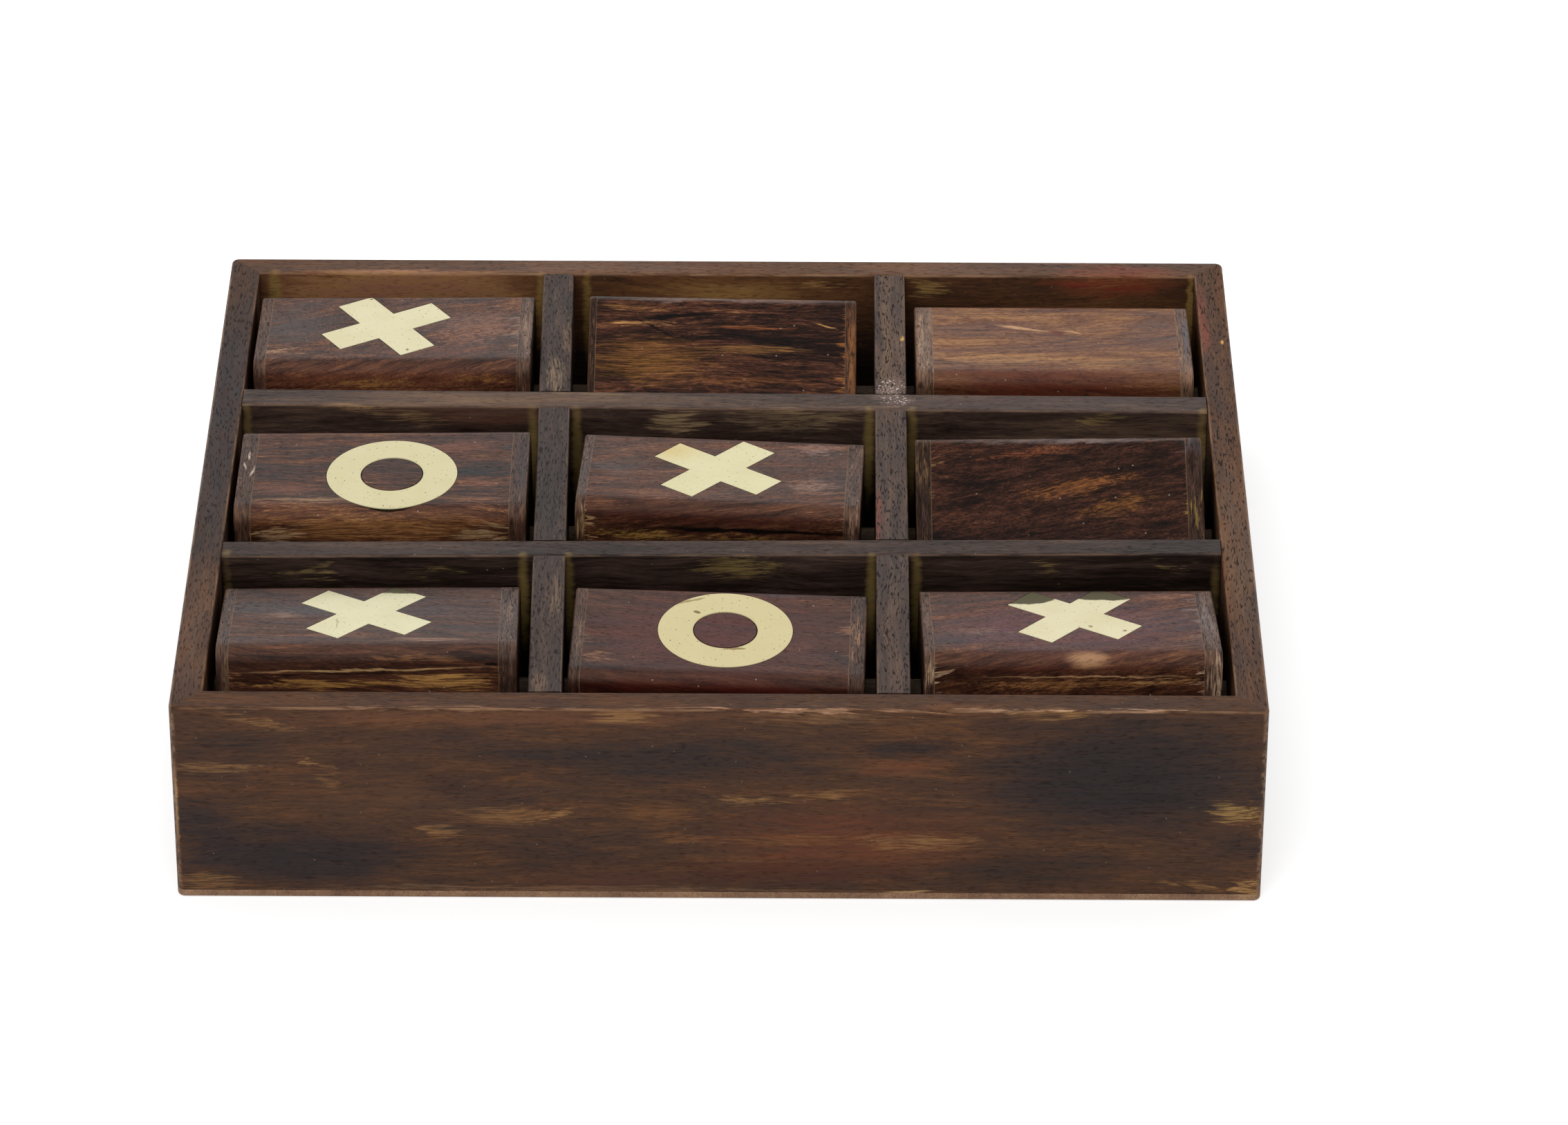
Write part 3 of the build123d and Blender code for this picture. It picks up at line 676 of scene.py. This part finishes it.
# Brass figures.
# A cross on one face of each tumbler and a ring on the opposite face, cut from rolled brass sheet, let in flush and
# rubbed down with the wood, over the eased edge too where they reach it. Outlines are softened; the hole is chamfered.
def rubbed_brass(name, base, centre, turn, patches):
    """Brass sheet rubbed down by hand: nearly even, with a faint cloud, fine scratches, nicks and the given patches,
    some of them painted dark reflection.
    """
    material, tree = blank(name)
    local = own_axes(tree, centre, turn)
    # a cloud 9 mm across; scratches 6 mm long and drawn 0.12 mm wide, mostly along the tumbler; nicks 0.3 mm across
    cloud = ranged(tree, noise(tree, local, (9, 9, 9), 2.0)[0], 0.4, 0.7, 0.0, 0.25)
    paint = mixed(tree, cloud, colour(base), "#d2c690")
    scratch = add(tree, "ShaderNodeMapping", {"Vector": local, "Rotation": (0.0, 0.0, radians(12.0)),
                                              "Scale": (1 / 6, 1 / 0.25, 1 / 0.25)})
    scratch = add(tree, "ShaderNodeTexNoise", {"Vector": scratch.outputs[0], "Scale": 1.0, "Detail": 1.0})
    paint = mixed(tree, ranged(tree, scratch.outputs[0], 0.68, 0.75, 0.0, 0.25), paint, "#a69562")
    nick = noise(tree, local, (0.7, 0.7, 0.7), 0.0)[0]
    paint = mixed(tree, ranged(tree, nick, 0.76, 0.8, 0.0, 0.7), paint, "#5c4a2c")
    # painted dark reflection where a cross bends over an eased edge, deeper scratches and a yellower spot, each with a
    # ragged rim
    shake = vectors(tree, "SUBTRACT", noise(tree, local, (4, 4, 4), 3.0)["Color"], (0.5, 0.5, 0.5))
    ragged = vectors(tree, "ADD", local, scaled(tree, shake, 3.0))
    dull = 0.28
    for patch in patches:
        far = distance(tree, ragged, patch.place, patch.radii, patch.turn)
        mask = ranged(tree, far, 0.2 if patch.rim == "soft" else 0.94, 1.0, patch.share, 0.0)
        paint = mixed(tree, mask, paint, patch.tint)
        dull = maths(tree, "MULTIPLY_ADD", mask, patch.lighter, dull)
    surface = add(tree, "ShaderNodeBsdfPrincipled", {"Base Color": paint, "Metallic": 1.0, "Roughness": dull})
    add(tree, "ShaderNodeOutputMaterial", {"Surface": surface.outputs[0]})
    return material


# these sizes are in metres; the pieces stand 0.06 mm proud of the wood, with a dark gap of 0.1 to 0.2 mm round them
sheet_thickness = 0.001
proud = 0.00006
arm_length = 0.0384
arm_width = 0.0118
tiny = 0.00001
bpy.context.tool_settings.mesh_select_mode = (False, True, False)
bpy.ops.mesh.primitive_plane_add(size=arm_width, location=(0.0, 0.0, 0.0))
cross_pattern = bpy.context.object
for way in ((1.0, 0.0), (-1.0, 0.0), (0.0, 1.0), (0.0, -1.0)):
    for part in (*cross_pattern.data.polygons, *cross_pattern.data.vertices):
        part.select = False
    for edge in cross_pattern.data.edges:
        ends = [cross_pattern.data.vertices[v].co.xy for v in edge.vertices]
        edge.select = all(v.dot(Vector(way)) > 0.49 * arm_width and v.length < arm_width for v in ends)
    reach = [v * (arm_length - arm_width) / 2 for v in (*way, 0.0)]
    bpy.ops.object.mode_set(mode="EDIT")
    bpy.ops.mesh.extrude_region_move(TRANSFORM_OT_translate={"value": reach})
    bpy.ops.mesh.select_all(action="DESELECT")
    bpy.ops.object.mode_set(mode="OBJECT")
bpy.ops.object.mode_set(mode="EDIT")
bpy.ops.mesh.select_all(action="SELECT")
bpy.ops.mesh.remove_doubles(threshold=tiny)
bpy.ops.mesh.normals_make_consistent(inside=False)
bpy.ops.mesh.subdivide(number_cuts=12)
bpy.ops.object.mode_set(mode="OBJECT")

# a disc inset in steps; its last face is the hole
ring_radius = 0.0191
hole_radius = 0.00905
steps = 10
bpy.ops.mesh.primitive_circle_add(vertices=160, radius=ring_radius, fill_type="NGON", location=(0.0, 0.0, 0.0))
ring_pattern = bpy.context.object
bpy.ops.object.mode_set(mode="EDIT")
for step in range(steps):
    bpy.ops.mesh.inset(thickness=(ring_radius - hole_radius) / steps)
bpy.ops.mesh.delete(type="FACE")
bpy.ops.object.mode_set(mode="OBJECT")

# the upper edges are bevelled, each stretch from one radius to another by a width of its own
softened = 0.00015
chamfered = 0.0004
hole_rim = hole_radius + 0.0001
everywhere = 1.0
bevels = ((cross_pattern, ((0.0, everywhere, softened),)),
          (ring_pattern, ((0.0, hole_rim, chamfered), (hole_rim, everywhere, softened))))
for pattern, stretches in bevels:
    bpy.ops.object.select_all(action="DESELECT")
    pattern.select_set(True)
    bpy.context.view_layer.objects.active = pattern
    bpy.ops.object.mode_set(mode="EDIT")
    bpy.ops.mesh.select_all(action="SELECT")
    bpy.ops.mesh.extrude_region_move(TRANSFORM_OT_translate={"value": (0.0, 0.0, -sheet_thickness)})
    bpy.ops.mesh.select_all(action="SELECT")
    bpy.ops.mesh.normals_make_consistent(inside=False)
    bpy.ops.object.mode_set(mode="OBJECT")
    for inner, outer, width in stretches:
        sides = set()
        for face in pattern.data.polygons:
            if abs(face.normal.z) < 0.5:
                sides |= {tuple(sorted(pair)) for pair in face.edge_keys}
        for part in (*pattern.data.polygons, *pattern.data.vertices):
            part.select = False
        for edge in pattern.data.edges:
            ends = [pattern.data.vertices[v].co for v in edge.vertices]
            outline = tuple(sorted(edge.vertices)) in sides and min(v.z for v in ends) > -tiny
            edge.select = outline and all(inner <= v.xy.length < outer for v in ends)
        bpy.ops.object.mode_set(mode="EDIT")
        bpy.ops.mesh.bevel(offset=width, segments=2, affect="EDGES")
        bpy.ops.mesh.select_all(action="DESELECT")
        bpy.ops.object.mode_set(mode="OBJECT")
    bpy.ops.object.shade_smooth_by_angle(angle=radians(20.0))

# painted dark reflection: the olive where a cross's arms bend down over the rear eased edge
painted_dark_reflection = "#4e4829"
scratched = "#8a7440"
marks_on_brass = {
    "front_right": [
        # painted dark reflection on the arms that bend over the rear edge
        firm((-12.5, 20, half), (12, 9, 8), 0.15, painted_dark_reflection, 0.95),
        firm((10, 22.8, half), (16, 9.4, 8), 0.15, painted_dark_reflection, 0.95),
        firm((15, -7, half), (0.6, 0.6, 3), 0.2, scratched, 0.7),
        firm((6, -4, half), (0.5, 0.6, 3), 0.2, scratched, 0.7)],
    "front_left": [
        # painted dark reflection on the arm that bends over the rear edge
        firm((10, 25, half), (16, 9.8, 8), 0.15, painted_dark_reflection, 0.95),
        firm((-9, -6, half), (0.3, 4.5, 3), 0.1, "#a89868", 0.5)],
    "middle_centre": [Patch((-15, 12, half), (11, 9, 8), 0, "#dcc078", 0.6)],
    "front_centre": [
        firm((-8.5, -15.6, -half), (4, 0.6, 3), 0.2, scratched, 0.6, (0, 0, -22)),
        firm((-6.8, -9.6, -half), (0.8, 0.7, 3), 0.2, "#7a6030", 0.8),
        firm((5, 8.4, -half), (3, 0.5, 3), 0.2, "#8a6a34", 0.7)],
    "back_left": [
        firm((4, -14.2, half), (0.6, 0.6, 3), 0.2, scratched, 0.8),
        firm((-8, 19.6, half), (0.6, 0.7, 3), 0.2, "#6a5a34", 0.8)]}
flat_half = (half - tumbler_edge) / 1000
easing = tumbler_edge / 1000
for t in tumblers:
    name = f"{t.row}_{t.column}"
    centre = (column_middle[t.column] + t.slide, row_middle[t.row], axle_height + t.lift)
    lies = (t.turn, t.roll, t.yaw)
    brass = rubbed_brass(f"brass_sheet_rubbed_{name}", t.metal, centre, lies, marks_on_brass.get(name, ()))
    ring_up = abs(t.turn) > 100.0
    over = Matrix.Translation(Vector(centre) / 1000) @ Euler([radians(v) for v in lies]).to_matrix().to_4x4()
    under = over @ Matrix.Rotation(pi, 4, "X")
    # the cross follows the eased edge; the stiffer ring leans over it only a little
    figures = (("cross", cross_pattern, not ring_up, over, 1.0), ("ring", ring_pattern, ring_up, under, 0.25))
    for figure, pattern, shows, place, follows in figures:
        dress(f"{name}_{figure}", brass)
        made = pattern.copy()
        made.data = pattern.data.copy()
        made.name = f"{name}_brass_{figure}"
        bpy.context.collection.objects.link(made)
        shift = [v / 1000 for v in t.figure_shift] if shows else (0.0, 0.0)
        turned = radians(45.0 + (t.figure_turn if shows else 0.0))
        made.data.transform(Matrix.Translation((*shift, 0.0)) @ Matrix.Rotation(turned, 4, "Z"))
        for vertex in made.data.vertices:
            past = abs(vertex.co.y) - flat_half
            if past > 0.0:
                vertex.co.z -= follows * (easing - (easing ** 2 - past ** 2) ** 0.5)
        made.data.transform(place @ Matrix.Translation((0.0, 0.0, half / 1000 + proud)))
        made.data.materials.append(brass)
        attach(made, f"{name}_tumbler")
        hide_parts(f"{name}_{figure}")
for pattern in (cross_pattern, ring_pattern):
    bpy.data.objects.remove(pattern)
